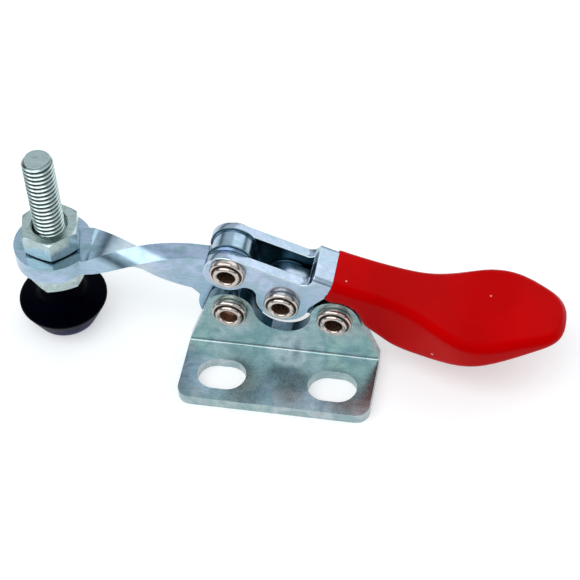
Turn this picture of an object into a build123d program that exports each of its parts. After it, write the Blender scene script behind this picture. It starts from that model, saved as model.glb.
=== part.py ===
"""Small horizontal toggle clamp: slotted foot, twisted bar arm, M4 spindle, dipped grip.

Millimetres.  X runs from the spindle (-X) to the grip (+X), Y from the foot's front edge to
its upright web and on behind it, Z is up.  The origin is the centre of the two mounting
slots, on the underside of the foot.  The clamp is modelled closed: arm and grip down.
"""
import os
from math import acos, atan2, cos, degrees, hypot, radians, sin, sqrt

from build123d import *

# ---------------------------------------------------------------- driving dimensions
# Foot: one folded sheet, a slotted flange and an upright web
sheet = 1.5
flange_length = 25.0
slot_row_to_front = 4.25
slot_row_to_web = 5.25
flange_corner_r = 1.8
bend_inner_r = 0.3
slot_pitch = 14.5
slot_width = 4.8
slot_length = 6.4
web_lobe_r = 3.1
scallop_floor = 5.2

# The four pivots of the toggle linkage, seen from the side, as (x, z)
base_arm = (-6.7, 8.2)
base_link = (6.9, 8.6)
handle_link = (0.2, 10.8)
arm_handle = (-6.5, 15.8)

# Arm and link stock, washers between the layers, and the play that lets them turn
bar_sheet = 2.5
washer_t = 0.36
washer_r = 3.0
side_play = 0.04
turning_fit = 0.05

# Rivets: solid head behind, hollow end rolled over in front
rivet_shank_r = 1.65
rivet_bore_r = 1.2
rivet_head_r = 2.3
rivet_front_h = 1.3
rivet_back_r = 2.0
rivet_back_h = 0.45
rivet_rim = 0.4
rivet_flare = 0.3
rivet_bore_floor = 1.6

# Clamp arm: round head, heel below the lower pivot, bar, twist and eye
head_r = 2.7
heel_r = 4.2
heel_offset = (-0.4, -1.3)
bar_top = 15.35
bar_depth = 5.7
bar_heel_drop = 1.25
bar_heel_run = 3.8
bar_corner_r = 0.6
twist_start_gap = 4.8
twist_length = 13.4
eye_bar_width = 5.9
twist_sections = 9

# Spindle: M4 x 25 hexagon bolt, two nuts and a rubber cap over the bolt head
spindle_x = -30.25
eye_r = 5.1
eye_underside = 11.95
thread_r = 2.0
spindle_hole_gap = 0.15
bolt_length = 25.0
bolt_tip_chamfer = 0.45
hex_flats = 7.0
nut_h = 3.2
nut_bore_gap = 0.02
nut_mouth_r = 2.45
nut_corner_slope = 0.5
nut_collar_r = 3.1
nut_collar_h = 0.22
upper_nut_turn = 13.6
lower_nut_turn = -7.0
bolt_head_h = 2.8
cap_floor_t = 1.75
cap_foot_r = 4.1
cap_rim_r = 6.0
cap_rim_z = 4.0
cap_rim_bevel = 0.35
cap_neck_r = 2.9
cap_neck_foot_z = 5.0
cap_neck_gap = 0.3

# Handle: folded channel with a forked end, measured along its own sloping axis
handle_slope = 21.5
fork_end_r = 3.0
fork_end_drop = 0.75
fork_top = 2.25
fork_link_r = 3.45
fork_rear_run = 3.1
fork_concave_r = 1.2
bridge_start = 10.1
bridge_top = 4.2
bridge_bend_r = 0.9
neck_underside = 1.3
tang_underside = 2.1
mouth_at = 12.6
tang_end = 25.0

# Link plate
link_r = 2.8

# Grip, from the side: points (x, z) that its top line and its belly run through
grip_wall = 0.3
grip_top_wall = 0.2
grip_shoulder = (15.5, 12.55)
grip_dip = (23.2, 10.3)
grip_crown = (29.0, 10.9)
grip_nose_top = (37.0, 9.9)
grip_nose_foot = (37.0, 8.4)
grip_sole = (29.5, 7.7)
grip_heel = (23.0, 5.5)
grip_keel = (18.0, 4.1)
grip_throat = (13.0, 5.6)
grip_clearance = 0.35

# Grip, from above: half widths along its length
grip_swell_x = 11.0
grip_waist_x = 18.0
grip_waist_half = 4.35
paddle_x = 25.2
paddle_half = 7.0
paddle_end_x = 33.0
paddle_end_half = 4.8
grip_tip_x = 36.0
grip_top_bevel = 0.7
grip_belly_bevel = 0.6

# ---------------------------------------------------------------- values that follow
washer_gap = washer_t + side_play
fork_gap = bar_sheet + 2 * washer_gap
web_front = slot_row_to_web
web_back = web_front + sheet
bar_front = web_back + washer_gap
bar_back = bar_front + bar_sheet
middle_y = (bar_front + bar_back) / 2
far_front = web_back + fork_gap
far_back = far_front + sheet
handle_width = far_back - web_front
running_hole_r = rivet_shank_r + turning_fit
eye_top = eye_underside + bar_sheet
hex_corner_r = hex_flats / sqrt(3)


def side_plane(y):
    """Sketch plane at depth y: local x is X, local y is Z, and extrusion runs towards -Y."""
    return Plane(origin=(0, y, 0), x_dir=(1, 0, 0), z_dir=(0, -1, 0))


def handle_plane(y):
    """The same for the handle: origin at the arm pivot, local x down the handle's slope."""
    slope = radians(handle_slope)
    return Plane(
        origin=(arm_handle[0], y, arm_handle[1]),
        x_dir=(cos(slope), 0, -sin(slope)),
        z_dir=(0, -1, 0),
    )


def on_handle(point):
    """A side-view point (x, z) in the handle's own coordinates."""
    slope = radians(handle_slope)
    dx = point[0] - arm_handle[0]
    dz = point[1] - arm_handle[1]
    return (dx * cos(slope) - dz * sin(slope), dx * sin(slope) + dz * cos(slope))


def from_handle(u, v):
    """A point (u, v) in the handle's own coordinates, back in the side view (x, z)."""
    slope = radians(handle_slope)
    return (
        arm_handle[0] + u * cos(slope) + v * sin(slope),
        arm_handle[1] - u * sin(slope) + v * cos(slope),
    )


def angle_to(start, end):
    """Direction from one side-view point to another, in degrees."""
    return degrees(atan2(end[1] - start[1], end[0] - start[0]))


def save(part, label):
    part.label = label
    export_step(part, f"parts/{label}.step")


os.makedirs("parts", exist_ok=True)

# ---------------------------------------------------------------- foot
# The dip between the lobes is an arc that touches both lobes and the scallop floor.
half_span = hypot(base_link[0] - base_arm[0], base_link[1] - base_arm[1]) / 2
span_mid = ((base_arm[0] + base_link[0]) / 2, (base_arm[1] + base_link[1]) / 2)
floor_drop = span_mid[1] - scallop_floor + web_lobe_r
scallop_rise = (half_span**2 - floor_drop**2) / (2 * floor_drop)
scallop_r = span_mid[1] + scallop_rise - scallop_floor
span_angle = radians(angle_to(base_arm, base_link))
scallop_centre = (
    span_mid[0] - scallop_rise * sin(span_angle),
    span_mid[1] + scallop_rise * cos(span_angle),
)


def flank_angle(foot_x, pivot, side):
    """Angle on a lobe where the straight flank from the flange corner touches it."""
    corner = (foot_x, sheet)
    reach = hypot(pivot[0] - corner[0], pivot[1] - corner[1])
    return angle_to(pivot, corner) - side * degrees(acos(web_lobe_r / reach))


half_length = flange_length / 2
left_touch = flank_angle(-half_length, base_arm, 1)
right_touch = flank_angle(half_length, base_link, -1)
arm_dip = angle_to(base_arm, scallop_centre)
link_dip = angle_to(base_link, scallop_centre)
left_turn = (left_touch - arm_dip) % 360
right_turn = (link_dip - right_touch) % 360
dip_start = angle_to(scallop_centre, base_arm) % 360
dip_turn = (angle_to(scallop_centre, base_link) % 360 - dip_start) % 360

with BuildPart() as base_bracket:
    with BuildSketch(side_plane(web_back)):
        with BuildLine():
            left_lobe = CenterArc(base_arm, web_lobe_r, arm_dip, left_turn)
            CenterArc(scallop_centre, scallop_r, dip_start, dip_turn)
            right_lobe = CenterArc(base_link, web_lobe_r, right_touch, right_turn)
            Polyline(
                right_lobe @ 0,
                (half_length, sheet),
                (half_length, 0),
                (-half_length, 0),
                (-half_length, sheet),
                left_lobe @ 1,
            )
        make_face()
    extrude(amount=sheet)
    with BuildSketch(Plane.XY):
        with Locations((0, (web_back - slot_row_to_front) / 2)):
            Rectangle(flange_length, web_back + slot_row_to_front)
    extrude(amount=sheet)
    front_corners = base_bracket.edges().filter_by(Axis.Z).group_by(Axis.Y)[0]
    fillet(front_corners, flange_corner_r)
    along_x = base_bracket.edges().filter_by(Axis.X)
    inner_bend = along_x.filter_by_position(Axis.Y, web_front, web_front).sort_by(Axis.Z)[-1]
    fillet(inner_bend, bend_inner_r)
    outer_bend = base_bracket.edges().filter_by(Axis.X).group_by(Axis.Y)[-1].sort_by(Axis.Z)[0]
    fillet(outer_bend, sheet + bend_inner_r)
    with BuildSketch(Plane.XY):
        with Locations((-slot_pitch / 2, 0), (slot_pitch / 2, 0)):
            SlotOverall(slot_length, slot_width)
    extrude(amount=sheet, mode=Mode.SUBTRACT)
    with BuildSketch(side_plane(web_back)):
        with Locations(base_arm, base_link):
            Circle(rivet_shank_r)
    extrude(amount=sheet, mode=Mode.SUBTRACT)
save(base_bracket.part, "base_bracket")


# ---------------------------------------------------------------- clamp arm
def flat_outline():
    """Side view of the upright half: round head, heel and the bar that leaves to the left."""
    heel = (base_arm[0] + heel_offset[0], base_arm[1] + heel_offset[1])
    bar_foot = bar_top - bar_depth
    with BuildSketch(mode=Mode.PRIVATE) as outline:
        with Locations(arm_handle):
            Circle(head_r)
        with Locations(heel):
            Circle(heel_r)
        make_hull()
        Polygon(
            (twist_end_x, bar_top),
            (arm_handle[0], bar_top),
            (arm_handle[0], bar_foot - bar_heel_drop),
            (heel[0] - bar_heel_run, bar_foot - bar_heel_drop),
            (twist_end_x, bar_foot),
            align=None,
        )
        offset(amount=bar_corner_r)
        offset(amount=-bar_corner_r)
    return outline.sketch


twist_start_x = spindle_x + twist_start_gap
twist_end_x = twist_start_x + twist_length
eye_middle_z = eye_underside + bar_sheet / 2
bar_middle_z = bar_top - bar_depth / 2

with BuildPart() as clamp_arm:
    # Eye and the flat start of the bar
    with BuildSketch(Plane.XY.offset(eye_underside)):
        with Locations((spindle_x, middle_y)):
            Circle(eye_r)
        with Locations(((spindle_x + twist_start_x) / 2, middle_y)):
            Rectangle(twist_start_gap, eye_bar_width)
    extrude(amount=bar_sheet)
    # Twisted stretch: a quarter turn about the bar's own axis
    for step in range(twist_sections):
        share = step / (twist_sections - 1)
        eased = (share + sin(radians(90 * share))) / 2
        x = twist_start_x + twist_length * share
        z = eye_middle_z + (bar_middle_z - eye_middle_z) * share
        width = eye_bar_width + (bar_depth - eye_bar_width) * share
        quarter = radians(90 * eased)
        across = (0, cos(quarter), -sin(quarter))
        with BuildSketch(Plane(origin=(x, middle_y, z), x_dir=across, z_dir=(1, 0, 0))):
            Rectangle(width, bar_sheet)
    loft()
    # Upright half with the head and the heel
    with BuildSketch(side_plane(bar_back)):
        add(flat_outline())
    extrude(amount=bar_sheet)
    # Holes: spindle, handle rivet, and the seat of its own half of the base rivet
    with BuildSketch(Plane.XY.offset(eye_underside)):
        with Locations((spindle_x, middle_y)):
            Circle(thread_r + spindle_hole_gap)
    extrude(amount=bar_sheet, mode=Mode.SUBTRACT)
    with BuildSketch(side_plane(bar_back)):
        with Locations(arm_handle):
            Circle(running_hole_r)
        with Locations(base_arm):
            Circle(rivet_shank_r)
    extrude(amount=bar_sheet, mode=Mode.SUBTRACT)
save(clamp_arm.part, "clamp_arm")


# ---------------------------------------------------------------- handle frame
link_pivot = on_handle(handle_link)

with BuildPart() as handle_frame:
    with BuildSketch(handle_plane(far_back)):
        with Locations((0, -fork_end_drop)):
            Circle(fork_end_r)
        with Locations(link_pivot):
            Circle(fork_link_r)
        Polygon(
            (0, fork_top),
            (bridge_start, fork_top),
            (bridge_start, bridge_top),
            (mouth_at, bridge_top),
            (mouth_at, neck_underside),
            (link_pivot[0] + fork_rear_run, link_pivot[1]),
            link_pivot,
            (0, fork_top - fork_end_r),
            align=None,
        )
        offset(amount=fork_concave_r)
        offset(amount=-fork_concave_r)
        Polygon(
            (bridge_start, bridge_top),
            (tang_end, bridge_top),
            (tang_end, tang_underside),
            (bridge_start, tang_underside),
            align=None,
        )
    extrude(amount=handle_width)
    # The channel is folded down on both sides of the bridge
    handle_up = Axis((0, 0, 0), handle_plane(0).y_dir)
    handle_along = Axis((0, 0, 0), handle_plane(0).x_dir)
    top_face = handle_frame.faces().filter_by(GeomType.PLANE).sort_by(handle_up)[-1]
    fillet(top_face.edges().filter_by(handle_along), bridge_bend_r)
    with BuildSketch(handle_plane(far_front)):
        with Locations((tang_end / 2, bridge_top - sheet - tang_end / 2)):
            Rectangle(2 * tang_end, tang_end)
    extrude(amount=fork_gap, mode=Mode.SUBTRACT)
    with BuildSketch(handle_plane(far_back)):
        with Locations((0, 0), link_pivot):
            Circle(rivet_shank_r)
    extrude(amount=handle_width, mode=Mode.SUBTRACT)
save(handle_frame.part, "handle_frame")

# ---------------------------------------------------------------- toggle link
with BuildPart() as toggle_link:
    with BuildSketch(side_plane(bar_back)):
        with Locations(handle_link, base_link):
            Circle(link_r)
        make_hull()
        with Locations(handle_link, base_link):
            Circle(running_hole_r, mode=Mode.SUBTRACT)
    extrude(amount=bar_sheet)
save(toggle_link.part, "toggle_link")


# ---------------------------------------------------------------- rivets and washers
def rivet_plane(pivot):
    """Section plane through a pivot: local x is the radius (along X), local y is depth (Y)."""
    return Plane(origin=(pivot[0], 0, pivot[1]), x_dir=(1, 0, 0), z_dir=(0, 0, 1))


def rolled_section(face):
    """Half section of the rolled front end, with its rim bevelled."""
    top = face - rivet_front_h
    with BuildSketch(mode=Mode.PRIVATE) as head:
        Polygon(
            (0, face),
            (0, top),
            (rivet_head_r - rivet_rim, top),
            (rivet_head_r, top + rivet_rim),
            (rivet_head_r, face),
            align=None,
        )
    return head.sketch


def bore_section(mouth_y, floor_y):
    """Half section of the hollow, from its flared mouth at the front to its floor."""
    with BuildSketch(mode=Mode.PRIVATE) as bore:
        Polygon(
            (0, mouth_y),
            (rivet_bore_r + rivet_flare, mouth_y),
            (rivet_bore_r, mouth_y + rivet_flare),
            (rivet_bore_r, floor_y),
            (0, floor_y),
            align=None,
        )
    return bore.sketch


def make_rivet(label, pivot, start_y, end_y, front=True, back=True):
    """Rivet between two faces.  A half rivet has only its front end or only its back head."""
    with BuildPart() as rivet:
        with BuildSketch(rivet_plane(pivot)):
            with Locations((rivet_shank_r / 2, (start_y + end_y) / 2)):
                Rectangle(rivet_shank_r, end_y - start_y)
            if back:
                with Locations((rivet_back_r / 2, end_y + rivet_back_h / 2)):
                    Rectangle(rivet_back_r, rivet_back_h)
            if front:
                add(rolled_section(start_y))
                bore = bore_section(start_y - rivet_front_h, end_y - rivet_bore_floor)
                add(bore, mode=Mode.SUBTRACT)
        revolve(axis=Axis((pivot[0], 0, pivot[1]), (0, 1, 0)))
    save(rivet.part, label)


def make_washer(label, pivot, near_y):
    with BuildPart() as washer:
        with BuildSketch(side_plane(near_y + washer_t)):
            with Locations(pivot):
                Circle(washer_r)
                Circle(rivet_shank_r, mode=Mode.SUBTRACT)
        extrude(amount=washer_t)
    save(washer.part, label)


make_rivet("rivet_arm_handle", arm_handle, web_front, far_back)
make_rivet("rivet_handle_link", handle_link, web_front, far_back)
make_rivet("rivet_base_link", base_link, web_front, bar_back + side_play)
# The rivet between foot and arm is in two halves, met at the face of the spacer washer
make_rivet("rivet_base_arm_front", base_arm, web_front, bar_front - side_play, back=False)
make_rivet("rivet_base_arm_back", base_arm, bar_front, bar_back, front=False)

for name, pivot, near_y in (
    ("washer_arm_handle_near", arm_handle, web_back),
    ("washer_arm_handle_far", arm_handle, far_front - washer_t),
    ("washer_handle_link_near", handle_link, web_back),
    ("washer_handle_link_far", handle_link, far_front - washer_t),
    ("washer_base_arm", base_arm, web_back),
    ("washer_base_link", base_link, web_back),
):
    make_washer(name, pivot, near_y)


# ---------------------------------------------------------------- spindle
def spindle_plane(z):
    return Plane.XY.offset(z).move(Location((spindle_x, middle_y, 0)))


def chamfer_cone(z_low, z_high, up, down):
    """Turned corners of a hexagon: a profile that trims the points to the flats' circle."""
    flat_r = hex_flats / 2
    corner_drop = (hex_corner_r - flat_r) * nut_corner_slope
    low = z_low + (corner_drop if down else 0)
    high = z_high - (corner_drop if up else 0)
    with BuildSketch(mode=Mode.PRIVATE) as section:
        Polygon(
            (0, z_low),
            (flat_r if down else hex_corner_r, z_low),
            (hex_corner_r, low),
            (hex_corner_r, high),
            (flat_r if up else hex_corner_r, z_high),
            (0, z_high),
            align=None,
        )
    return section.sketch


def spindle_section():
    """Section plane through the spindle: local x is the radius, local y is Z."""
    return Plane(origin=(spindle_x, middle_y, 0), x_dir=(1, 0, 0), z_dir=(0, -1, 0))


spindle_axis = Axis((spindle_x, middle_y, 0), (0, 0, 1))
bolt_seat_z = cap_floor_t + bolt_head_h
lower_nut_z = eye_underside - nut_collar_h - nut_h

for name, foot_z, collar_z, turn in (
    ("spindle_nut_upper", eye_top + nut_collar_h, eye_top, upper_nut_turn),
    ("spindle_nut_lower", lower_nut_z, eye_underside - nut_collar_h, lower_nut_turn),
):
    with BuildPart() as nut:
        with BuildSketch(spindle_plane(foot_z)):
            RegularPolygon(hex_corner_r, 6, rotation=30 + turn)
        extrude(amount=nut_h)
        with BuildSketch(spindle_section()):
            add(chamfer_cone(foot_z, foot_z + nut_h, True, True))
        revolve(axis=spindle_axis, mode=Mode.INTERSECT)
        with BuildSketch(spindle_plane(collar_z)):
            Circle(nut_collar_r)
        extrude(amount=nut_collar_h)
        with BuildSketch(spindle_section()):
            bore_r = thread_r + nut_bore_gap
            bore_foot = min(foot_z, collar_z)
            bore_top = max(foot_z + nut_h, collar_z + nut_collar_h)
            Polygon(
                (0, bore_foot),
                (bore_r, bore_foot),
                (bore_r, bore_top - nut_mouth_r + bore_r),
                (nut_mouth_r, bore_top),
                (0, bore_top),
                align=None,
            )
        revolve(axis=spindle_axis, mode=Mode.SUBTRACT)
    save(nut.part, name)

with BuildPart() as spindle_bolt:
    with BuildSketch(spindle_plane(cap_floor_t)):
        RegularPolygon(hex_corner_r, 6, rotation=30)
    extrude(amount=bolt_head_h)
    with BuildSketch(spindle_section()):
        add(chamfer_cone(cap_floor_t, bolt_seat_z, False, True))
    revolve(axis=spindle_axis, mode=Mode.INTERSECT)
    with BuildSketch(spindle_plane(bolt_seat_z)):
        Circle(thread_r)
    extrude(amount=bolt_length)
    chamfer(spindle_bolt.edges().sort_by(Axis.Z)[-1], bolt_tip_chamfer)
save(spindle_bolt.part, "spindle_bolt")

with BuildPart() as rubber_cap:
    with BuildSketch(spindle_section()) as cap_section:
        Polygon(
            (0, 0),
            (cap_foot_r, 0),
            (cap_rim_r, cap_rim_z),
            (cap_neck_r, cap_neck_foot_z),
            (cap_neck_r, lower_nut_z - cap_neck_gap),
            (0, lower_nut_z - cap_neck_gap),
            align=None,
        )
        chamfer(cap_section.vertices().sort_by_distance((cap_rim_r, cap_rim_z))[0], cap_rim_bevel)
    revolve(axis=spindle_axis)
    with BuildSketch(spindle_plane(cap_floor_t)):
        RegularPolygon(hex_corner_r, 6, rotation=30)
    extrude(amount=bolt_head_h, mode=Mode.SUBTRACT)
    with BuildSketch(spindle_plane(bolt_seat_z)):
        Circle(thread_r)
    extrude(amount=bolt_length, mode=Mode.SUBTRACT)
save(rubber_cap.part, "rubber_cap")

# ---------------------------------------------------------------- grip
mouth_top = from_handle(mouth_at, bridge_top + grip_top_wall)
mouth_foot = from_handle(mouth_at, neck_underside - grip_wall)
half_neck = handle_width / 2 + grip_wall
down_handle = (cos(radians(handle_slope)), -sin(radians(handle_slope)))
up_throat = (mouth_foot[0] - grip_throat[0], mouth_foot[1] - grip_throat[1])

with BuildPart() as handle_grip:
    # Side view: deep behind the channel, thin at the paddle
    with BuildSketch(side_plane(middle_y + 2 * paddle_half)):
        with BuildLine():
            top_points = (mouth_top, grip_shoulder, grip_dip, grip_crown, grip_nose_top)
            top_line = Spline(*top_points, tangents=[down_handle, (1, -0.15)])
            belly_points = (grip_nose_foot, grip_sole, grip_heel, grip_keel, grip_throat)
            belly = Spline(*belly_points, tangents=[(-1, 0), up_throat])
            Line(top_line @ 1, belly @ 0)
            Polyline(belly @ 1, mouth_foot, mouth_top)
        make_face()
    extrude(amount=4 * paddle_half)
    # Top view: narrow neck, wide round paddle
    with BuildSketch(Plane.XY):
        with BuildLine():
            near_neck = Line((0, middle_y - half_neck), (grip_swell_x, middle_y - half_neck))
            near_side = Spline(
                near_neck @ 1,
                (grip_waist_x, middle_y - grip_waist_half),
                (paddle_x, middle_y - paddle_half),
                (paddle_end_x, middle_y - paddle_end_half),
                (grip_tip_x, middle_y),
                tangents=[(1, 0), (0, 1)],
            )
            mirror([near_neck, near_side], about=Plane.XZ.offset(-middle_y))
            Line(near_neck @ 0, (0, middle_y + half_neck))
        make_face()
    extrude(amount=grip_tip_x, mode=Mode.INTERSECT)
    # Bevelled edges along the top and the belly
    top_skin = max(handle_grip.faces(), key=lambda face: face.normal_at().Z)
    chamfer(top_skin.edges().filter_by(GeomType.BSPLINE), grip_top_bevel)
    belly_skin = min(handle_grip.faces(), key=lambda face: face.normal_at().Z)
    chamfer(belly_skin.edges().filter_by(GeomType.BSPLINE), grip_belly_bevel)
    # Room for the lobe and flank of the foot, and the pocket that holds the channel's tang
    with BuildSketch(side_plane(middle_y + 2 * paddle_half)):
        with Locations(base_link):
            Circle(web_lobe_r + grip_clearance)
        with Locations((half_length, sheet)):
            Circle(grip_clearance)
        make_hull()
    extrude(amount=4 * paddle_half, mode=Mode.SUBTRACT)
    add(handle_frame.part, mode=Mode.SUBTRACT)
save(handle_grip.part, "handle_grip")
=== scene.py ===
# %% [markdown]
# # A small horizontal toggle clamp, dressed in Blender
#
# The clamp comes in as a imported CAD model.  Its solids are exact but plain: every edge is
# knife sharp, the spindle has no thread and nothing has a finish.  This notebook gives each
# piece the form and surface of the real one: pressed sheet with rolled edges, rivets with
# curled rims, an M4 thread, a moulded rubber foot and a grip dipped in soft vinyl.
#
# Lengths below are written in millimetres.  Blender counts in metres, so each is multiplied
# by MM where it is handed over.

import math

import bmesh
import bpy
from mathutils import Matrix, Vector


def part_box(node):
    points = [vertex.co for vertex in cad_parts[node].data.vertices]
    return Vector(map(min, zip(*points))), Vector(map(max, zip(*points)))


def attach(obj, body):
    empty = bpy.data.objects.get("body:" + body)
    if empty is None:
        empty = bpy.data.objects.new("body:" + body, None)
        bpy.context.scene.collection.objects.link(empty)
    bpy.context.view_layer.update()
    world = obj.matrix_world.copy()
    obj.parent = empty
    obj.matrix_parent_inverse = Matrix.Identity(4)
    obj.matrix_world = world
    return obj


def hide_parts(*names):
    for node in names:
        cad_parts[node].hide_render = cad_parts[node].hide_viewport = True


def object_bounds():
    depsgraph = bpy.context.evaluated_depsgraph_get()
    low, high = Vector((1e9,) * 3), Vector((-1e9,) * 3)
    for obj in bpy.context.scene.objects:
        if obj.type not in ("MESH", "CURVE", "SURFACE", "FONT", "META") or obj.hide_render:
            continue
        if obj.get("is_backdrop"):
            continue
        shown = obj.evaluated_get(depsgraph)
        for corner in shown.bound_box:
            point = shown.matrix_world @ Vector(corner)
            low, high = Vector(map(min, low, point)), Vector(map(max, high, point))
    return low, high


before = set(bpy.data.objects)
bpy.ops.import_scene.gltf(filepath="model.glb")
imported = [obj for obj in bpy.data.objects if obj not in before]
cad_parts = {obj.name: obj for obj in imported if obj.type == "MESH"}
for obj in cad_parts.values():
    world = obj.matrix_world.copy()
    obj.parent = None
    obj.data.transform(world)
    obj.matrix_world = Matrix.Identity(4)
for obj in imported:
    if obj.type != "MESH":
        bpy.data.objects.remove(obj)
cad_low, cad_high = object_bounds()
print("the clamp has", len(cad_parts), "solids")

# %% [markdown]
# ## Small helpers
#
# Colours are easiest to pick as the hex values that a paint chart or a screen shows, but
# shaders work in linear light.  One function turns the first into the second.

# %% Units and colours
MM = 0.001


def colour(hex_value):
    """Linear RGBA from an sRGB hex string such as #a3b4b8."""
    channels = [int(hex_value[i:i + 2], 16) / 255 for i in (1, 3, 5)]
    linear = [c / 12.92 if c <= 0.04045 else ((c + 0.055) / 1.055) ** 2.4 for c in channels]
    return (*linear, 1.0)


print("mid grey is", [round(c, 3) for c in colour("#808080")[:3]], "in linear light")

# %% [markdown]
# A material is a graph of nodes.  Adding one takes three things: its kind, its settings and
# what its inputs hold or are joined to.  One function does all three, so that each material
# below reads as a short list of what happens on the surface.


# %% One way to add a node
def add(tree, kind, inputs=None, **settings):
    """Adds a node; an input is given a value, or an output socket that feeds it."""
    made = tree.nodes.new(kind)
    for name, value in settings.items():
        setattr(made, name, value)
    for key, value in (inputs or {}).items():
        if isinstance(value, bpy.types.NodeSocket):
            tree.links.new(value, made.inputs[key])
        else:
            made.inputs[key].default_value = value
    return made


def start_material(name):
    """An empty material with its output, and the object's own coordinates."""
    material = bpy.data.materials.new(name)
    material.use_nodes = True
    tree = material.node_tree
    tree.nodes.clear()
    output = tree.nodes.new("ShaderNodeOutputMaterial")
    place = tree.nodes.new("ShaderNodeTexCoord").outputs["Object"]
    return material, tree, output, place


print("node helper ready")

# %% [markdown]
# ## Camera
#
# A small tool shows most from well above and a little to one side, where the slots in the
# foot and the linkage are both in sight.  A long lens keeps the uprights straight.  The focal
# length is counted in pixels of a square picture, as a measuring camera's is, and turned to
# the width of the film.

# %% Camera
ELEVATION = math.radians(49.24)
AZIMUTH = math.radians(13.22)
ROLL = math.radians(-3.99)
DISTANCE = 251.53 * MM
TARGET = Vector((1.35, 5.25, 13.48)) * MM
FILM_WIDTH = 36
PICTURE_PIXELS = 580
FOCAL_PIXELS = 2000

back = Vector((
    math.sin(AZIMUTH) * math.cos(ELEVATION),
    -math.cos(AZIMUTH) * math.cos(ELEVATION),
    math.sin(ELEVATION),
))
level = Vector((math.cos(AZIMUTH), math.sin(AZIMUTH), 0))
upright = back.cross(level)
right = math.cos(ROLL) * level + math.sin(ROLL) * upright
up = -math.sin(ROLL) * level + math.cos(ROLL) * upright
pose = Matrix((right, up, back)).transposed().to_4x4()
pose.translation = TARGET + back * DISTANCE

lens = bpy.data.cameras.new("camera")
lens.sensor_width = FILM_WIDTH
lens.lens = FILM_WIDTH * FOCAL_PIXELS / PICTURE_PIXELS
lens.clip_start = 0.01
camera = bpy.data.objects.new("camera", lens)
camera.matrix_world = pose
bpy.context.scene.collection.objects.link(camera)
bpy.context.scene.camera = camera
print("camera at, mm:", [round(v / MM, 1) for v in pose.translation])

# %% [markdown]
# ## Floor
#
# Bright metal has no colour of its own to speak of: it shows what stands around it, so the
# surroundings are made before any finish.  The clamp stands on a sheet of white card.  Card is
# matt all over, so a diffuse shader is enough, and it is a real surface, so the clamp keeps its
# soft shadow.  What the camera and the shiny pieces see of it is lifted to white; the light
# that it throws back on the clamp is not.

# %% Floor
FLOOR_WIDTH = 3000

bm = bmesh.new()
bmesh.ops.create_grid(bm, x_segments=1, y_segments=1, size=FLOOR_WIDTH / 2 * MM)
floor_mesh = bpy.data.meshes.new("floor")
bm.to_mesh(floor_mesh)
bm.free()
floor = bpy.data.objects.new("floor", floor_mesh)
bpy.context.scene.collection.objects.link(floor)
floor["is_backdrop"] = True
print("floor is", FLOOR_WIDTH, "mm wide")

# %% Matt white card
material, tree, output, place = start_material("matt_white_card")
rays = add(tree, "ShaderNodeLightPath")
shiny = add(tree, "ShaderNodeMath", {
    0: rays.outputs["Is Glossy Ray"], 1: rays.outputs["Is Transmission Ray"],
}, operation="MAXIMUM")
seen = add(tree, "ShaderNodeMath", {
    0: rays.outputs["Is Camera Ray"], 1: shiny.outputs[0],
}, operation="MAXIMUM")
card = add(tree, "ShaderNodeBsdfDiffuse", {"Color": colour("#dcdcdc")})
lift = add(tree, "ShaderNodeEmission", {"Color": colour("#ffffff"), "Strength": 0.4})
both = add(tree, "ShaderNodeAddShader", {0: card.outputs[0], 1: lift.outputs[0]})
choice = add(tree, "ShaderNodeMixShader", {
    0: seen.outputs[0], 1: card.outputs[0], 2: both.outputs[0],
})
tree.links.new(choice.outputs[0], output.inputs["Surface"])
floor_mesh.materials.append(material)
print("floor wears", material.name)

# %% [markdown]
# ## Sky
#
# A sky of one flat colour makes metal look like grey paint.  This one is banded by height, as
# a studio is: white near the floor, a dark band where the room lies behind the lamps, and pale
# again overhead.  The bands show up as the bright and dark stripes on bends and twists.  A
# world's Generated coordinate is the direction looked in, so its Z runs from 0 at the horizon
# to 1 overhead.


# %% Sky
def lay_colours(ramp, stops):
    """Lays (position, hex value) stops along a colour ramp, which has two of its own."""
    marks = ramp.color_ramp.elements
    for index, (position, value) in enumerate(stops):
        mark = marks[index] if index < 2 else marks.new(position)
        mark.position = position
        mark.color = colour(value)


world = bpy.data.worlds.new("studio")
bpy.context.scene.world = world
world.use_nodes = True
sky = world.node_tree
sky.nodes.clear()
sky_out = sky.nodes.new("ShaderNodeOutputWorld")
direction = add(sky, "ShaderNodeTexCoord").outputs["Generated"]
height = add(sky, "ShaderNodeSeparateXYZ", {0: direction}).outputs["Z"]
ramp = add(sky, "ShaderNodeValToRGB", {"Fac": height})
lay_colours(ramp, (
    (0.0, "#fbfcfc"), (0.14, "#eef2f4"), (0.2, "#46535a"), (0.34, "#7f8f96"),
    (0.52, "#dfe9ee"), (0.8, "#f0f6f9"), (0.92, "#c9d4d9"), (1.0, "#dce6eb"),
))
surround = add(sky, "ShaderNodeBackground", {"Color": ramp.outputs["Color"], "Strength": 0.95})
sky.links.new(surround.outputs[0], sky_out.inputs["Surface"])
print("sky has", len(ramp.color_ramp.elements), "stops")

# %% [markdown]
# ## Lamps
#
# Three square lamps stand well away from the clamp, so that none shows as a hard spot.  The
# one behind gives the tops a sheen, the one in front fills the near sides and draws the soft
# shadow, and the one on the left picks out the nut's corner and the eye.


# %% Lamps
def soft_lamp(name, place, size, watts):
    """A square lamp that looks at the clamp.  Places are in millimetres."""
    lamp = bpy.data.lights.new(name, "AREA")
    lamp.shape = "SQUARE"
    lamp.size = size * MM
    lamp.energy = watts
    holder = bpy.data.objects.new(name, lamp)
    spot = Vector(place) * MM
    turn = (TARGET - spot).to_track_quat("-Z", "Y").to_matrix().to_4x4()
    turn.translation = spot
    holder.matrix_world = turn
    bpy.context.scene.collection.objects.link(holder)
    print(name, "is", round((TARGET - spot).length / MM), "mm away")


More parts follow.
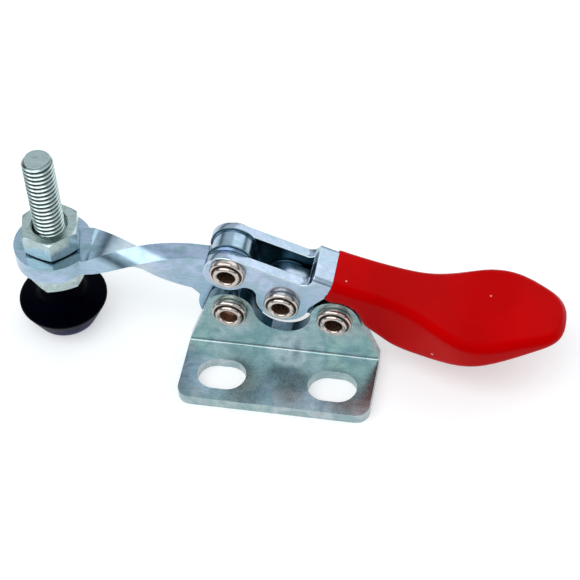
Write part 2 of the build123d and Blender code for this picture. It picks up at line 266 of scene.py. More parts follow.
soft_lamp("back_lamp", (250, 430, 480), 520, 0.6)
soft_lamp("front_lamp", (-60, -280, 570), 480, 1.2)
soft_lamp("left_lamp", (-390, -120, 470), 260, 0.42)

# %% [markdown]
# ## Finishes
#
# ### Bright zinc on pressed sheet
#
# The foot, the handle, the arm and the link are stamped from mild steel and then barrel
# plated with zinc and passivated.  Zinc is a metal, so the shader is fully metallic and keeps
# its default IOR.  The passivate leaves a thin clear film that tints it in soft clouds a few
# millimetres wide: bluish here, greenish there, greyer where the film is thin.  The mill's
# rolling leaves a grain of fine lines along the sheet, and tumbling in the barrel leaves
# small nicks.  Rolling lines are really 0.02 mm apart; they are drawn about ten times as
# wide so that they show at all.


# %% Bright zinc plated sheet
def zinc(name, cloud, rough, bump, grain_length, grain_width, tints, groove=None):
    """Zinc plate with clouds of tint, rolling grain and nicks.  Sizes are in millimetres.

    The tints spread over the middle of the clouds' noise, from clear film to dense film.
    A groove (axis x, axis y, floor radius, crest radius) paints shade deep in a thread and a
    highlight on its crests.
    """
    clear, dense = 0.28, 0.74
    nick = 0.8
    material, tree, output, place = start_material(name)
    clouds = add(tree, "ShaderNodeTexNoise", {
        "Vector": place, "Scale": 1 / (cloud * MM), "Detail": 3.0, "Roughness": 0.55,
    })
    film = add(tree, "ShaderNodeValToRGB", {"Fac": clouds.outputs["Fac"]})
    lay_colours(film, [
        (clear + (dense - clear) * index / (len(tints) - 1), tint)
        for index, tint in enumerate(tints)
    ])
    stretch = add(tree, "ShaderNodeMapping", {
        "Vector": place,
        "Scale": (1 / (grain_length * MM), 1 / (grain_width * MM), 1 / (grain_width * MM)),
    })
    grain = add(tree, "ShaderNodeTexNoise", {
        "Vector": stretch.outputs[0], "Scale": 1.0, "Detail": 2.0, "Roughness": 0.6,
    })
    nicks = add(tree, "ShaderNodeTexNoise", {
        "Vector": place, "Scale": 1 / (nick * MM), "Detail": 3.0, "Roughness": 0.55,
    })
    shade = add(tree, "ShaderNodeMapRange", {
        "Value": grain.outputs["Fac"],
        "From Min": 0.3, "From Max": 0.7, "To Min": 0.90, "To Max": 1.06,
    })
    tone = add(tree, "ShaderNodeVectorMath", {
        0: film.outputs["Color"], "Scale": shade.outputs[0],
    }, operation="SCALE")
    if groove:
        centred = add(tree, "ShaderNodeMapping", {
            "Vector": place, "Location": (-groove[0] * MM, -groove[1] * MM, 0), "Scale": (1, 1, 0),
        })
        radius = add(tree, "ShaderNodeVectorMath", {0: centred.outputs[0]}, operation="LENGTH")
        # Painted shade and highlight: darker towards the thread's floor, lighter on its crests.
        painted_shade_and_highlight = add(tree, "ShaderNodeMapRange", {
            "Value": radius.outputs["Value"],
            "From Min": groove[2] * MM, "From Max": groove[3] * MM, "To Min": 0.12, "To Max": 1.2,
        })
        tone = add(tree, "ShaderNodeVectorMath", {
            0: tone.outputs[0], "Scale": painted_shade_and_highlight.outputs[0],
        }, operation="SCALE")
    gloss = add(tree, "ShaderNodeMapRange", {
        "Value": nicks.outputs["Fac"],
        "From Min": 0.3, "From Max": 0.72, "To Min": rough - 0.04, "To Max": rough + 0.05,
    })
    relief = add(tree, "ShaderNodeMath", {
        0: grain.outputs["Fac"], 1: nicks.outputs["Fac"],
    }, operation="ADD")
    surface = add(tree, "ShaderNodeBump", {
        "Height": relief.outputs[0], "Strength": bump, "Distance": 0.02 * MM,
    })
    shader = add(tree, "ShaderNodeBsdfPrincipled", {
        "Base Color": tone.outputs[0],
        "Metallic": 1.0,
        "Roughness": gloss.outputs[0],
        "Normal": surface.outputs[0],
    })
    tree.links.new(shader.outputs[0], output.inputs["Surface"])
    return material


print("zinc is ready to mix")

# %% [markdown]
# The same plate looks different from piece to piece.  The foot lies flat and has picked up the
# most passivate, so it is the greenest and dullest.  The handle and the bar are cleaner and
# bluer.  Edges that the barrel has rubbed smooth are palest.  Between the fork's plates, on the
# washers' rims and on the wall of the hollow between the foot's lobes, the zinc is painted dark
# and dull: painted shade where the gaps are deep.

# %% The zinc of each piece
foot_zinc = zinc(
    "bright_zinc_on_folded_foot", cloud=4.5, rough=0.27, bump=0.07,
    grain_length=4.0, grain_width=0.22,
    tints=("#839ea2", "#a9bbba", "#92aaad", "#b5c0c3", "#8898a0"),
)
handle_zinc = zinc(
    "bright_zinc_on_handle_channel", cloud=4.0, rough=0.22, bump=0.06,
    grain_length=4.0, grain_width=0.22,
    tints=("#96b0bc", "#adb9cd", "#a2b5c4", "#b8c2da", "#99b3bf"),
)
bar_zinc = zinc(
    "bright_zinc_on_twisted_bar", cloud=5.0, rough=0.20, bump=0.06,
    grain_length=6.0, grain_width=0.25,
    tints=("#88a7b2", "#a4b9cd", "#96b0be", "#b0c0da", "#8aa8b2"),
)
edge_zinc = zinc(
    "bright_zinc_on_rolled_edge", cloud=3.0, rough=0.22, bump=0.03,
    grain_length=6.0, grain_width=0.6,
    tints=("#b9cdd2", "#cfe0e6", "#c6d8e4"),
)
# Painted shade: a dark, dull zinc for faces in gaps and hollows where shade falls.
painted_shade_zinc = zinc(
    "zinc_painted_dark_as_shade", cloud=2.0, rough=0.34, bump=0.08,
    grain_length=4.0, grain_width=0.3,
    tints=("#16303c", "#2f5260", "#1f3f4c"),
)
for finish in (foot_zinc, handle_zinc, bar_zinc, edge_zinc, painted_shade_zinc):
    print("made", finish.name)

# %% [markdown]
# ### Zinc on the bolt and nuts
#
# The spindle is a cold headed M4 bolt with a rolled thread.  Its zinc is a little yellower
# and more even than that of the sheet, because rolled threads start out smooth.  Its colour
# is painted darker with depth as painted shade, and a little lighter on the crests as a painted
# highlight: the distance from the spindle's axis tells crest from floor.

# %% Where the spindle stands
bolt_low, bolt_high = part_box("spindle_bolt")
axis_x = (bolt_low[0] + bolt_high[0]) / 2
axis_y = (bolt_low[1] + bolt_high[1]) / 2
print("spindle stands at", round(axis_x / MM, 2), round(axis_y / MM, 2))

# %% Bright zinc plated screw
screw_zinc = zinc(
    "bright_zinc_on_rolled_thread", cloud=2.4, rough=0.24, bump=0.08,
    grain_length=2.5, grain_width=0.4,
    tints=("#98a9a7", "#b6c6c5", "#a9bbbb", "#c6d5d8"),
)
# Painted shade deep in the thread, and a painted highlight on its crests.
thread_zinc_with_painted_shade = zinc(
    "bright_zinc_with_painted_shade_in_thread", cloud=2.4, rough=0.2, bump=0.05,
    grain_length=2.5, grain_width=0.4,
    tints=("#a7b7b3", "#c7d6d4", "#b9cac8", "#d6e2e4"),
    groove=(axis_x / MM, axis_y / MM, 1.72, 1.94),
)
print("made", screw_zinc.name, thread_zinc_with_painted_shade.name)

# %% [markdown]
# ### Nickel on the rivets
#
# The rivets are hollow steel, nickel plated and then curled over by a polished tool, so they
# are the smoothest metal here.  Nickel is warmer than zinc.  Inside the hollow the plating
# thins out and lubricant browns, so the bore has a dull brown finish of its own.  The fine
# groove round the curl is painted as a dark ring of painted shade.


# %% Polished nickel, the brown of the bore and the painted shade of the groove
def plain_metal(name, dark, light, low_rough, high_rough, patch):
    """Metal that drifts between two colours over patches of the given size in millimetres."""
    material, tree, output, place = start_material(name)
    drift = add(tree, "ShaderNodeTexNoise", {
        "Vector": place, "Scale": 1 / (patch * MM), "Detail": 3.0, "Roughness": 0.6,
    })
    tint = add(tree, "ShaderNodeValToRGB", {"Fac": drift.outputs["Fac"]})
    lay_colours(tint, ((0.3, dark), (0.7, light)))
    gloss = add(tree, "ShaderNodeMapRange", {
        "Value": drift.outputs["Fac"],
        "From Min": 0.3, "From Max": 0.7, "To Min": low_rough, "To Max": high_rough,
    })
    shader = add(tree, "ShaderNodeBsdfPrincipled", {
        "Base Color": tint.outputs["Color"],
        "Metallic": 1.0,
        "Roughness": gloss.outputs[0],
    })
    tree.links.new(shader.outputs[0], output.inputs["Surface"])
    return material


curled_nickel = plain_metal(
    "polished_nickel_on_rivet", "#b8aba4", "#d3c8c1", low_rough=0.05, high_rough=0.10, patch=1.4,
)
browned_bore = plain_metal(
    "browned_bore_of_rivet", "#6e4a38", "#c29f86", low_rough=0.35, high_rough=0.6, patch=0.3,
)
# Painted shade: the dark ring in the groove round the curl.
painted_shade_groove = plain_metal(
    "painted_shade_in_rivet_groove", "#241d1a", "#4a3f39", low_rough=0.3, high_rough=0.5, patch=0.4,
)
print("made", curled_nickel.name, browned_bore.name, painted_shade_groove.name)

# %% [markdown]
# ### Dipped vinyl
#
# The grip is made by dipping the hot handle into liquid vinyl, which gels on it as a soft
# satin coat.  It is a plastic, so it is not metallic: a saturated body colour under a soft,
# slightly uneven gloss, which the plasticiser in it keeps low and reddish.  Dust and tiny
# bubbles leave a few pale specks: the surface is cut into cells 2.2 mm wide, and about one cell
# in five has a speck at its heart.

# %% Red dipped vinyl
RIPPLE, DRIFT, SPECK_CELL = 1.6, 9, 2.2

red_vinyl, tree, output, place = start_material("dipped_red_vinyl")
drift = add(tree, "ShaderNodeTexNoise", {
    "Vector": place, "Scale": 1 / (DRIFT * MM), "Detail": 2.0, "Roughness": 0.5,
})
body = add(tree, "ShaderNodeValToRGB", {"Fac": drift.outputs["Fac"]})
lay_colours(body, ((0.3, "#b00002"), (0.7, "#c20002")))
cells = add(tree, "ShaderNodeTexVoronoi", {"Vector": place, "Scale": 1 / (SPECK_CELL * MM)})
chance = add(tree, "ShaderNodeSeparateColor", {"Color": cells.outputs["Color"]})
near = add(tree, "ShaderNodeMath", {
    0: cells.outputs["Distance"], 1: 0.1,
}, operation="LESS_THAN")
rare = add(tree, "ShaderNodeMath", {
    0: chance.outputs["Red"], 1: 0.78,
}, operation="GREATER_THAN")
speck = add(tree, "ShaderNodeMath", {
    0: near.outputs[0], 1: rare.outputs[0],
}, operation="MULTIPLY")
skin = add(tree, "ShaderNodeMix", {
    0: speck.outputs[0], 6: body.outputs["Color"], 7: colour("#d99a94"),
}, data_type="RGBA")
ripple = add(tree, "ShaderNodeTexNoise", {
    "Vector": place, "Scale": 1 / (RIPPLE * MM), "Detail": 2.0, "Roughness": 0.5,
})
gloss = add(tree, "ShaderNodeMapRange", {
    "Value": ripple.outputs["Fac"],
    "From Min": 0.3, "From Max": 0.7, "To Min": 0.30, "To Max": 0.40,
})
surface = add(tree, "ShaderNodeBump", {
    "Height": ripple.outputs["Fac"], "Strength": 0.25, "Distance": 0.05 * MM,
})
shader = add(tree, "ShaderNodeBsdfPrincipled", {
    "Base Color": skin.outputs[2],
    "Roughness": gloss.outputs[0],
    "IOR": 1.5,
    "Specular IOR Level": 0.12,
    "Specular Tint": colour("#ff1c10"),
    "Normal": surface.outputs[0],
})
tree.links.new(shader.outputs[0], output.inputs["Surface"])
print("made", red_vinyl.name)

# %% [markdown]
# ### Moulded rubber
#
# The foot of the spindle wears a cap of black rubber, pressed in a polished mould.  Carbon
# black makes it almost black with a trace of blue, and the mould gives it a soft shine.  Between
# two heights the colour fades to a dark blue grey towards the bottom.

# %% Black moulded rubber
BLOOM = 1.2
NAVY_BELOW, BLACK_ABOVE = 1.2, 3.2

black_rubber, tree, output, place = start_material("moulded_black_rubber")
bloom = add(tree, "ShaderNodeTexNoise", {
    "Vector": place, "Scale": 1 / (BLOOM * MM), "Detail": 3.0, "Roughness": 0.6,
})
tint = add(tree, "ShaderNodeValToRGB", {"Fac": bloom.outputs["Fac"]})
lay_colours(tint, ((0.35, "#000002"), (0.75, "#020308")))
gloss = add(tree, "ShaderNodeMapRange", {
    "Value": bloom.outputs["Fac"],
    "From Min": 0.3, "From Max": 0.7, "To Min": 0.34, "To Max": 0.48,
})
surface = add(tree, "ShaderNodeBump", {
    "Height": bloom.outputs["Fac"], "Strength": 0.2, "Distance": 0.03 * MM,
})
rise = add(tree, "ShaderNodeSeparateXYZ", {0: place}).outputs["Z"]
# The colour fades to a dark blue grey towards the bottom of the cap.
navy_share = add(tree, "ShaderNodeMapRange", {
    "Value": rise, "From Min": NAVY_BELOW * MM, "From Max": BLACK_ABOVE * MM,
    "To Min": 0.9, "To Max": 0.0,
})
body = add(tree, "ShaderNodeMix", {
    0: navy_share.outputs[0], 6: tint.outputs["Color"], 7: colour("#101d50"),
}, data_type="RGBA")
shader = add(tree, "ShaderNodeBsdfPrincipled", {
    "Base Color": body.outputs[2],
    "Roughness": gloss.outputs[0],
    "IOR": 1.5,
    "Specular IOR Level": 0.03,
    "Specular Tint": colour("#3038c8"),
    "Normal": surface.outputs[0],
})
tree.links.new(shader.outputs[0], output.inputs["Surface"])
print("made", black_rubber.name)

# %% [markdown]
# ## Pressed steel pieces
#
# A punched sheet never has knife edges: the punch rolls one edge over and tumbling rounds
# the rest.  The CAD solids already have the right outlines, so each one is copied, its
# loose triangles are merged into whole faces, and its sharp edges are bevelled by one to three
# tenths of a millimetre.  That thin band catches the light and is what makes metal look
# solid.  The bevel's new faces get the brighter edge finish.


# %% From a CAD node to a finished piece
def take_copy(node):
    """A bmesh of a CAD node's solid with its triangles joined up."""
    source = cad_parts[node]
    bm = bmesh.new()
    bm.from_mesh(source.data)
    bmesh.ops.remove_doubles(bm, verts=bm.verts, dist=0.0005 * MM)
    return bm


def sharp_edges(bm, degrees):
    """Edges that turn by more than the given angle."""
    limit = math.radians(degrees)
    return [e for e in bm.edges if e.is_manifold and e.calc_face_angle(0) > limit]


def put_down(bm, name, node, body, finishes):
    """Turns a bmesh into a finished piece that stands for a CAD node and rides on a body."""
    mesh = bpy.data.meshes.new(name)
    for finish in finishes:
        mesh.materials.append(finish)
    bm.to_mesh(mesh)
    faces = len(bm.faces)
    bm.free()
    mesh.shade_smooth()
    piece = bpy.data.objects.new(name, mesh)
    bpy.context.scene.collection.objects.link(piece)
    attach(piece, body)
    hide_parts(node)
    print(name, "has", faces, "faces")
    return piece


def weigh_normals(piece):
    """Flat faces stay flat and only the bevels between them bend the light."""
    weight = piece.modifiers.new("weighted_normals", "WEIGHTED_NORMAL")
    weight.weight = 80
    weight.keep_sharp = True


def join_flats(bm):
    """Joins triangles that lie in one plane, so that a bevel meets whole faces."""
    bmesh.ops.dissolve_limit(
        bm, angle_limit=math.radians(0.3), use_dissolve_boundaries=False,
        verts=bm.verts[:], edges=bm.edges[:], delimit=set(),
    )


def roll_over(
    bm, node, name, body, edge, face_finish, edge_finish=edge_zinc,
):
    """Rolls the sharp edges over by the given width in millimetres and puts the piece down."""
    rolled = bmesh.ops.bevel(
        bm, geom=sharp_edges(bm, 35), offset=edge * MM, offset_type="OFFSET",
        segments=2, profile=0.5, affect="EDGES", clamp_overlap=True, material=-1,
    )
    for face in rolled["faces"]:
        face.material_index = 1
    piece = put_down(bm, name, node, body, (face_finish, edge_finish))
    weigh_normals(piece)
    return piece


def press(node, name, body, edge, face_finish, edge_finish=edge_zinc):
    """A pressed piece straight from its CAD node."""
    bm = take_copy(node)
    join_flats(bm)
    return roll_over(bm, node, name, body, edge, face_finish, edge_finish)


def refinish(piece, finish, chosen):
    """Gives another finish to the faces for which chosen(face) holds."""
    piece.data.materials.append(finish)
    picked = [face for face in piece.data.polygons if chosen(face)]
    for face in picked:
        face.material_index = len(piece.data.materials) - 1
    print(len(picked), "of them in", finish.name)


print("ready to press", len(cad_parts), "nodes")

# %% [markdown]
# The foot is one sheet folded up along its back.  Its web has a hollow between two lobes, cut
# round the rivet that joins handle and link, and the wall of that hollow is painted dark as
# painted shade.

# %% Foot
HOLLOW_REACH = 5.5

low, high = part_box("rivet_handle_link")
hollow_x, hollow_z = (low[0] + high[0]) / 2, (low[2] + high[2]) / 2


def in_hollow(face):
    """Whether a face of the foot is part of the wall between the two lobes."""
    reach = math.hypot(face.center.x - hollow_x, face.center.z - hollow_z)
    return abs(face.normal.y) < 0.3 and reach < HOLLOW_REACH * MM


foot = press("base_bracket", "slotted_foot", "foot", 0.26, foot_zinc)
# Painted shade on the wall of the hollow.
refinish(foot, painted_shade_zinc, in_hollow)

# %% [markdown]
# The handle is a channel whose front end is left open as a fork, and the inner faces of the
# fork are painted dark too, as painted shade.  The link is a short flat bar with round ends.

# %% Handle channel and link
FORK_NEAR, FORK_FAR = 6.6, 10.2


def in_fork(face):
    """Whether a face of the handle looks into the gap of the fork."""
    return abs(face.normal.y) > 0.9 and FORK_NEAR * MM < face.center.y < FORK_FAR * MM


channel = press("handle_frame", "handle_channel", "handle", 0.2, handle_zinc)
# Painted shade on the inner faces of the fork.
refinish(channel, painted_shade_zinc, in_fork)
press("toggle_link", "link_bar", "link", 0.16, handle_zinc)

# %% [markdown]
# The arm is cut from thicker bar, and its front half is twisted by a quarter turn so that
# the eye lies flat.  Twisting draws the corners round, so its edges get a wider bevel.  A
# reflection shows every dent, so the CAD solid's twist is taken out and swept again in fine
# even steps with the same turn.  The eye's round end reaches a little way into the twist, so
# the cut is made just behind it.

# %% Sizes of the arm
EYE_TO_TWIST, TWIST_LENGTH = 4.8, 13.4
EYE_WIDTH, BAR_DEPTH, BAR_SHEET = 5.9, 5.7, 2.5
EYE_Z, BAR_Z = 13.2, 12.5
TWIST_STEPS = 64
CUT_LATER, SEAM = 0.45, 0.2

twist_start = axis_x / MM + EYE_TO_TWIST
twist_cut = twist_start + CUT_LATER
twist_end = twist_start + TWIST_LENGTH
print("twist runs from", round(twist_start, 2), "to", round(twist_end, 2), "mm")


# %% Take the twist out
def in_twist(face):
    """Whether a face lies wholly between the cut behind the eye and the upright bar."""
    return all(twist_cut - 0.002 < v.co.x / MM < twist_end + 0.002 for v in face.verts)


bm = take_copy("clamp_arm")
bmesh.ops.bisect_plane(
    bm, geom=bm.verts[:] + bm.edges[:] + bm.faces[:],
    plane_co=(twist_cut * MM, 0, 0), plane_no=(1, 0, 0),
)
bmesh.ops.delete(bm, geom=[f for f in bm.faces if in_twist(f)], context="FACES")
join_flats(bm)
print("open edges round the gap:", sum(e.is_boundary for e in bm.edges))


# %% Sweep it again
def twisted_corners(x):
    """The four corners of the bar's section at x: its size, height and turn all drift."""
    share = (x - twist_start) / TWIST_LENGTH
    turn = math.pi / 4 * (share + math.sin(math.pi / 2 * share))
    across = Vector((0, math.cos(turn), -math.sin(turn)))
    through = Vector((0, math.sin(turn), math.cos(turn)))
    half = (EYE_WIDTH + (BAR_DEPTH - EYE_WIDTH) * share) / 2
    middle = Vector((x, axis_y / MM, EYE_Z + (BAR_Z - EYE_Z) * share))
    return [
        (middle + a * half * across + b * BAR_SHEET / 2 * through) * MM
        for a, b in ((1, 1), (-1, 1), (-1, -1), (1, -1))
    ]


first = twist_cut + SEAM
last = None
for step in range(TWIST_STEPS + 1):
    x = first + (twist_end - first) * step / TWIST_STEPS
    ring = [bm.verts.new(corner) for corner in twisted_corners(x)]
    if last:
        for i in range(4):
            bm.faces.new((last[i], last[i - 1], ring[i - 1], ring[i]))
    last = ring
bmesh.ops.remove_doubles(bm, verts=bm.verts, dist=0.01 * MM)
print("swept", TWIST_STEPS, "steps of", round((twist_end - first) / TWIST_STEPS, 2), "mm")

# %% [markdown]
# At the bar's end the new rings meet the old corners and merge with them.  Behind the eye a
# gap of a fifth of a millimetre is left, where the old rim has many more points than the new
# one.  Bridging the two rims closes it, whatever their counts.

# %% Close the seam and roll the edges over
seam = [e for e in bm.edges if e.is_boundary]
bmesh.ops.bridge_loops(bm, edges=seam)
bmesh.ops.recalc_face_normals(bm, faces=bm.faces)
print("open edges in the arm:", len(seam), "then", sum(not e.is_manifold for e in bm.edges))
roll_over(bm, "clamp_arm", "twisted_arm", "arm", 0.22, bar_zinc)

# %% [markdown]
# Thin washers keep the moving layers apart.  They are punched from soft strip.  Their rims
# lie deep between the plates, so the rolled edges are painted dark as painted shade.

# %% Washers
for node, body in (
    ("washer_arm_handle_near", "handle"),
    ("washer_arm_handle_far", "handle"),
    ("washer_handle_link_near", "handle"),
    ("washer_handle_link_far", "handle"),
    ("washer_base_arm", "foot"),
    ("washer_base_link", "foot"),
):
    # The rolled rims get the dark zinc of painted shade.
    press(node, "spacer_" + node, body, 0.16, handle_zinc, painted_shade_zinc)

# %% [markdown]
# ## Spindle
#
# The spindle is an M4 bolt that stands on its head: thread up, head in the rubber cap.  The
# thread is a groove that climbs 0.7 mm each turn.  A spin with a little lift at each step
# sweeps the profile of one turn all the way up; each turn then meets the one below it and
# the two are merged.  The ends are cut square with a plane, and the tip is drawn in to a
# chamfer.

# %% Sizes of the bolt
THREAD_R, CREST_R, ROOT_R = 2.0, 1.93, 1.57
PITCH = 0.7
TURN_STEPS = 40
TIP_R, TIP_LENGTH = 1.55, 0.4
HEAD_HEIGHT, HEAD_FLATS, HEAD_GAP = 2.8, 7.0, 0.02
RUN_IN = 1.2

head_foot = bolt_low[2]
head_top = head_foot + HEAD_HEIGHT * MM
thread_foot = head_top - RUN_IN * PITCH * MM
turns = math.ceil((bolt_high[2] - thread_foot) / (PITCH * MM)) + 1
print("thread needs", turns, "turns")


# %% Thread
def on_axis(radius, z):
    """A point beside the spindle's axis; both numbers are in metres."""
    return Vector((axis_x + radius, axis_y, z))


turn_profile = (
    (ROOT_R, 0.0), (ROOT_R, 0.12), (CREST_R, 0.30), (THREAD_R, 0.35),
    (CREST_R, 0.40), (ROOT_R, 0.58), (ROOT_R, PITCH),
)
bm = bmesh.new()
line = [bm.verts.new(on_axis(r * MM, thread_foot + z * MM)) for r, z in turn_profile]
edges = [bm.edges.new(pair) for pair in zip(line, line[1:])]
bmesh.ops.spin(
    bm, geom=line + edges, cent=on_axis(0, 0), axis=(0, 0, 1),
    dvec=(0, 0, PITCH * MM / TURN_STEPS), angle=math.tau * turns, steps=TURN_STEPS * turns,
    use_merge=False, use_normal_flip=False, use_duplicate=False,
)
bmesh.ops.remove_doubles(bm, verts=bm.verts, dist=0.01 * MM)
print("thread has", len(bm.faces), "faces")

# %% Square ends
for z, above in ((head_top, False), (bolt_high[2], True)):
    bmesh.ops.bisect_plane(
        bm, geom=bm.verts[:] + bm.edges[:] + bm.faces[:], dist=0.0001 * MM,
        plane_co=(0, 0, z), plane_no=(0, 0, 1), clear_outer=above, clear_inner=not above,
    )
    rim = [
        e for e in bm.edges
        if e.is_boundary and all(abs(v.co.z - z) < 0.001 * MM for v in e.verts)
    ]
    bmesh.ops.contextual_create(bm, geom=rim)
    print("end at", round(z / MM, 2), "closed over", len(rim), "edges")

# %% [markdown]
# The tip is drawn in under 45 degrees, as the die leaves it: no point may stand further out
# than the tip's own radius plus its depth below the end.  The tip has no painted shade.

# %% Chamfered tip
for vert in bm.verts:
    beside = vert.co - on_axis(0, vert.co.z)
    allowed = TIP_R * MM + (bolt_high[2] - vert.co.z)
    if beside.length > allowed:
        vert.co -= beside * (1 - allowed / beside.length)
bmesh.ops.recalc_face_normals(bm, faces=bm.faces)
for face in bm.faces:
    if face.calc_center_median().z > bolt_high[2] - TIP_LENGTH * MM:
        face.material_index = 1
print("tip is", 2 * TIP_R, "mm wide")

# %% Hexagon head, hidden in the cap
corner_r = HEAD_FLATS / 2 / math.cos(math.radians(30)) * MM
head_place = Matrix.Translation(on_axis(0, head_foot + HEAD_HEIGHT / 2 * MM))
head = bmesh.ops.create_cone(
    bm, cap_ends=True, segments=6, radius1=corner_r, radius2=corner_r,
    depth=(HEAD_HEIGHT - HEAD_GAP) * MM,
    matrix=head_place @ Matrix.Rotation(math.radians(30), 4, "Z"),
)
head_edges = list({e for v in head["verts"] for e in v.link_edges})
bmesh.ops.bevel(
    bm, geom=head_edges, offset=0.15 * MM, offset_type="OFFSET", segments=2,
    profile=0.5, affect="EDGES", clamp_overlap=True, material=-1,
)
spindle = put_down(
    bm, "threaded_spindle", "spindle_bolt", "arm", (thread_zinc_with_painted_shade, screw_zinc),
)
weigh_normals(spindle)

# %% [markdown]
# The two nuts clamp the arm's eye between them.  The CAD nuts already have their turned
# corners, which end in the curved scallops that every hexagon nut shows, so they only need
# their edges softened.

# %% Nuts
press("spindle_nut_upper", "upper_nut", "arm", 0.1, screw_zinc, screw_zinc)
press("spindle_nut_lower", "lower_nut", "arm", 0.1, screw_zinc, screw_zinc)

# %% [markdown]
# ## Rubber cap
#
# The cap is a body of revolution, so a spin is the natural tool: draw half its section once
# and turn it round the spindle.  Its widest line is a soft rounded rim.

# %% Section of the cap
# Points are (radius, height), from the middle of the sole, round the outside, into the neck.
SOLE = ((0.0, 0.0), (3.6, 0.0), (3.95, 0.06), (4.12, 0.26))
SKIRT = ((4.7, 1.4), (5.25, 2.5), (5.66, 3.35))
RIM = ((5.82, 3.7), (5.83, 3.95), (5.74, 4.13), (5.5, 4.24))
SHOULDER = ((4.7, 4.42), (3.7, 4.74), (3.2, 5.05), (2.95, 5.5), (2.86, 6.2))
NECK = ((2.84, 7.6), (2.78, 7.95), (2.6, 8.15), (2.4, 8.22), (2.16, 8.18))
BORE = ((2.03, 8.0), (2.03, 7.4))

section = SOLE + SKIRT + RIM + SHOULDER + NECK + BORE
cap_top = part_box("rubber_cap")[1][2]
print("cap is", max(z for r, z in section), "mm high, in CAD", round(cap_top / MM, 2))

# %% Spin the cap
bm = bmesh.new()
line = [bm.verts.new(on_axis(r * MM, z * MM)) for r, z in section]
edges = [bm.edges.new(pair) for pair in zip(line, line[1:])]
bmesh.ops.spin(
    bm, geom=line + edges, cent=on_axis(0, 0), axis=(0, 0, 1), dvec=(0, 0, 0),
    angle=math.tau, steps=72, use_merge=True, use_normal_flip=False, use_duplicate=False,
)
bmesh.ops.remove_doubles(bm, verts=bm.verts, dist=0.005 * MM)
bmesh.ops.holes_fill(bm, edges=[e for e in bm.edges if e.is_boundary], sides=0)
bmesh.ops.recalc_face_normals(bm, faces=bm.faces)
put_down(bm, "rubber_foot", "rubber_cap", "arm", (black_rubber,))

# %% [markdown]
# ## Rivets
#
# Each pivot is a semi-tubular rivet: a solid head behind, and a hollow end in front that a
# tool curls outwards into a rounded ring.  The section of that ring rises from the bore over
# a smooth curl, dips into a fine groove and ends in a lower lip that bears on the plate.
# Spinning the section gives the rivet; the faces inside the hollow get the browned finish and
# those in the groove a dark finish of painted shade.


# %% Section of a rivet
# Points of the curl are (radius, height over the plate), from the bore outwards.
ROLLED_RING = (
    (1.1, 0.95), (1.13, 1.08), (1.2, 1.19), (1.31, 1.27), (1.44, 1.3), (1.57, 1.27), (1.67, 1.18),
    (1.74, 1.04), (1.79, 0.88), (1.87, 0.8), (1.96, 0.84), (2.04, 0.9), (2.13, 0.88), (2.22, 0.78),
    (2.28, 0.62), (2.3, 0.42), (2.3, 0.16), (2.26, 0.04), (2.2, 0.0),
)
# Points of the solid head are (radius, depth behind the plate), from the shank outwards.
BACK_HEAD = (
    (1.95, 0.0), (2.0, 0.06), (2.0, 0.22), (1.9, 0.36), (1.65, 0.43), (1.3, 0.45), (0.0, 0.45),
)
SHANK_R, BORE_R = 1.65, 1.1
BORE_TO_BACK, BORE_WALL_TOP, BROWN_TOP = 1.6, 0.7, 0.9
DRILL_POINT_R, DRILL_POINT_RISE = 1.0, 0.14
GROOVE_INNER, GROOVE_OUTER, GROOVE_FOOT = 1.74, 1.97, 0.75


def rivet_section(y_front, y_back, front, back_head):
    """Half the section of a rivet as (radius, y), from the front of the axis to its back."""
    bore_floor = y_back - BORE_TO_BACK
    section = [(0.0, y_front), (SHANK_R, y_front)]
    if front:
        section = [
            (0.0, bore_floor), (DRILL_POINT_R, bore_floor),
            (BORE_R, bore_floor - DRILL_POINT_RISE), (BORE_R, y_front - BORE_WALL_TOP),
        ]
        section += [(r, y_front - h) for r, h in ROLLED_RING] + [(SHANK_R, y_front)]
    section += [(SHANK_R, y_back)]
    section += [(r, y_back + d) for r, d in BACK_HEAD] if back_head else [(0.0, y_back)]
    return section


print("curl stands", max(h for r, h in ROLLED_RING), "mm proud")


# %% Spin a rivet
def rivet(node, body, y_front, y_back, front=True, back_head=True):
    """A rivet between two faces in Y.  Half rivets have only one of the two ends."""
    low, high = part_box(node)
    x = (low[0] + high[0]) / 2
    z = (low[2] + high[2]) / 2
    bm = bmesh.new()
    line = [
        bm.verts.new((x + r * MM, y * MM, z))
        for r, y in rivet_section(y_front, y_back, front, back_head)
    ]
    edges = [bm.edges.new(pair) for pair in zip(line, line[1:])]
    bmesh.ops.spin(
        bm, geom=line + edges, cent=(x, 0, z), axis=(0, 1, 0), dvec=(0, 0, 0),
        angle=math.tau, steps=48, use_merge=True, use_normal_flip=False, use_duplicate=False,
    )
    bmesh.ops.remove_doubles(bm, verts=bm.verts, dist=0.002 * MM)
    bmesh.ops.recalc_face_normals(bm, faces=bm.faces)
    # The bore gets its brown finish, and the deep faces of the groove a dark one of painted shade.
    if front:
        brown_front, brown_back = y_front - BROWN_TOP, y_back - BORE_TO_BACK + 0.01
        for face in bm.faces:
            middle = face.calc_center_median() / MM
            out = math.hypot(middle.x - x / MM, middle.z - z / MM)
            if out < BORE_R + 0.05 and brown_front < middle.y < brown_back:
                face.material_index = 1
            elif GROOVE_INNER < out < GROOVE_OUTER and middle.y < y_front - GROOVE_FOOT:
                face.material_index = 2
    finishes = (curled_nickel, browned_bore, painted_shade_groove)
    piece = put_down(bm, "hollow_" + node, node, body, finishes)
    weigh_normals(piece)


# %% [markdown]
# The layers are stacked in Y: the foot's web and the near fork plate in front, then the arm and
# the link side by side in one layer, then the far fork plate.  The rivet between foot and arm
# is two halves that meet in the play before the arm, because each half moves with its own body.

# %% Rivets at the pivots
WEB_FRONT, FORK_BACK = 5.25, 11.55
BAR_FRONT, BAR_BACK = 7.15, 9.65
SIDE_PLAY = 0.04

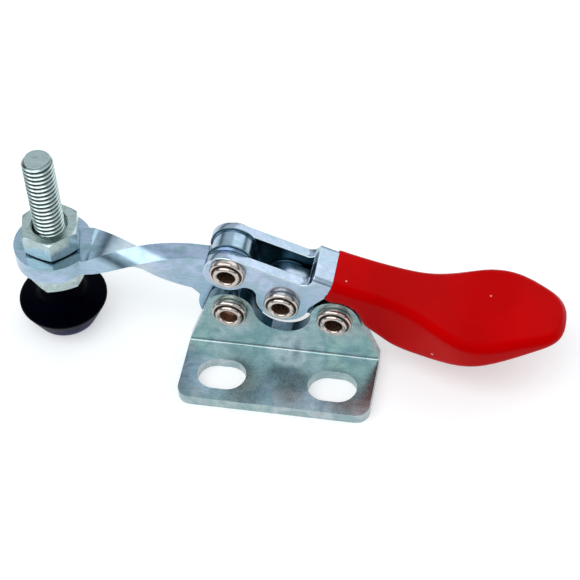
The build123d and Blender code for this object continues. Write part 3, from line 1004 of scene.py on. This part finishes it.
rivet("rivet_arm_handle", "handle", WEB_FRONT, FORK_BACK)
rivet("rivet_handle_link", "handle", WEB_FRONT, FORK_BACK)
rivet("rivet_base_link", "foot", WEB_FRONT, BAR_BACK + SIDE_PLAY)
rivet("rivet_base_arm_front", "foot", WEB_FRONT, BAR_FRONT - SIDE_PLAY, back_head=False)
rivet("rivet_base_arm_back", "arm", BAR_FRONT, BAR_BACK, front=False)

# %% [markdown]
# ## Grip
#
# The dipped coat follows the handle and swells into a paddle.  Its CAD solid has the right
# outlines with flat bevels; the real coat has no edge anywhere except at its mouth.  A voxel
# remesh turns the solid, with the channel's tang inside it, into one even skin, and a few
# rounds of smoothing melt the bevels.  A plane then cuts the mouth clean again.

# %% Where the mouth is
SLOPE = math.radians(21.5)
FRONT_PIVOT = Vector((-6.5, 0, 15.8))
PIVOT_TO_MOUTH = 12.62

along = Vector((math.cos(SLOPE), 0, -math.sin(SLOPE)))
mouth = FRONT_PIVOT * MM + along * PIVOT_TO_MOUTH * MM
print("mouth at, mm:", [round(v / MM, 2) for v in mouth])

# %% Grip and tang in one mesh
bm = take_copy("handle_grip")
tang = take_copy("handle_frame")
tang_mesh = bpy.data.meshes.new("tang")
tang.to_mesh(tang_mesh)
tang.free()
bm.from_mesh(tang_mesh)
bpy.data.meshes.remove(tang_mesh)
print("core has", len(bm.faces), "triangles")

# %% Even skin
SKIN_STEP = 0.18
MELTING_ROUNDS = 14

skin_mesh = bpy.data.meshes.new("grip_skin")
bm.to_mesh(skin_mesh)
bm.free()
skin = bpy.data.objects.new("grip_skin", skin_mesh)
bpy.context.scene.collection.objects.link(skin)
remesh = skin.modifiers.new("even_skin", "REMESH")
remesh.mode = "VOXEL"
remesh.voxel_size = SKIN_STEP * MM
smooth = skin.modifiers.new("melt", "SMOOTH")
smooth.factor = 0.5
smooth.iterations = MELTING_ROUNDS
bpy.context.view_layer.update()
evaluated = skin.evaluated_get(bpy.context.evaluated_depsgraph_get())
bm = bmesh.new()
bm.from_mesh(evaluated.to_mesh())
evaluated.to_mesh_clear()
bpy.data.objects.remove(skin)
print("skin has", len(bm.faces), "faces")

# %% Mouth of the grip
bmesh.ops.bisect_plane(
    bm, geom=bm.verts[:] + bm.edges[:] + bm.faces[:], dist=0.0001 * MM,
    plane_co=mouth, plane_no=along, clear_inner=True, clear_outer=False,
)
bmesh.ops.holes_fill(bm, edges=[e for e in bm.edges if e.is_boundary], sides=0)
bmesh.ops.recalc_face_normals(bm, faces=bm.faces)
put_down(bm, "dipped_grip", "handle_grip", "handle", (red_vinyl,))

# %% [markdown]
# ## Size of the dressed clamp
#
# The dressed clamp must stay as large as the solids.  Both boxes are printed so that they can be
# compared, and the view transform is set to Standard.

# %% Boxes
new_low, new_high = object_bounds()
bpy.context.scene.view_settings.view_transform = "Standard"
for name, low, high in (("CAD", cad_low, cad_high), ("dressed", new_low, new_high)):
    print(name, "box, mm:", [round(v / MM, 2) for v in low], [round(v / MM, 2) for v in high])
